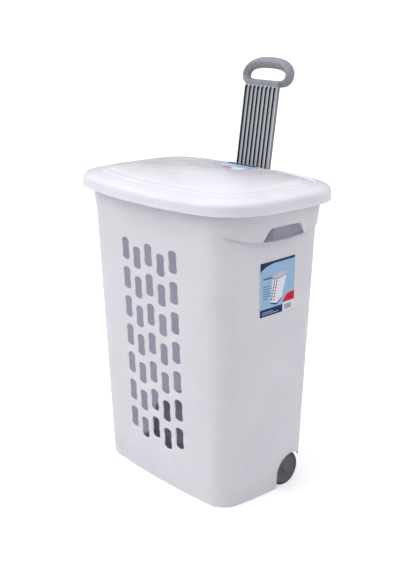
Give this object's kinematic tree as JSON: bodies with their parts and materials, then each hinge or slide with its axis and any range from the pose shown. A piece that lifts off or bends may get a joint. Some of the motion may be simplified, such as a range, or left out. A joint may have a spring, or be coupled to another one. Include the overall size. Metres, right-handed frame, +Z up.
{
  "type": "laundry hamper with lid",
  "caption": "Tall vented laundry hamper with a bowed lift-off lid, flared hand-hole ends, rear wheels and a ribbed pull-up handle.",
  "frame": {"origin": "on the floor, under the middle of the tub", "axes": "+Z up, the vented front faces -Y, the hand-holes are at +X and -X, the wheels and the pull handle are at +Y"},
  "size_m": [0.5316, 0.3893, 0.8801],
  "materials": {
    "body_plastic": "white moulded, satin",
    "lid_plastic": "white moulded, gloss",
    "label_paper": "printed film sticker",
    "handle_plastic": "silver grey moulded, satin",
    "steel": "plain zinc",
    "wheel_plastic": "dark grey moulded",
    "tyre_plastic": "soft black tread"
  },
  "bodies": {
    "tub": {"hamper_body": "body_plastic", "side_label": "label_paper", "handle_guide_plate": "handle_plastic", "guide_screw_lower_left": "steel", "guide_screw_lower_right": "steel", "guide_screw_upper_left": "steel", "guide_screw_upper_right": "steel", "wheel_axle": "steel", "axle_cap_left": "wheel_plastic", "axle_cap_right": "wheel_plastic"},
    "lid": {"lid": "lid_plastic", "lid_label": "label_paper"},
    "handle": {"handle_strap": "handle_plastic", "handle_grip": "handle_plastic"},
    "left_wheel": {"wheel_left": "wheel_plastic", "tyre_left": "tyre_plastic"},
    "right_wheel": {"wheel_right": "wheel_plastic", "tyre_right": "tyre_plastic"}
  },
  "joints": [
    {"name": "handle_slide", "type": "slide", "parent": "tub", "child": "handle", "axis": [0, 0.1416, 0.9899], "range_m": [-0.165, 0]},
    {"name": "lid_lift", "type": "slide", "parent": "tub", "child": "lid", "axis": [0, 0, 1], "range_m": [0, 0.15]},
    {"name": "left_wheel_spin", "type": "hinge", "parent": "tub", "child": "left_wheel", "pos_m": [-0.1855, 0.06, 0.0382], "axis": [1, 0, 0], "continuous": true},
    {"name": "right_wheel_spin", "type": "hinge", "parent": "tub", "child": "right_wheel", "pos_m": [0.1855, 0.06, 0.0382], "axis": [1, 0, 0], "continuous": true}
  ]
}
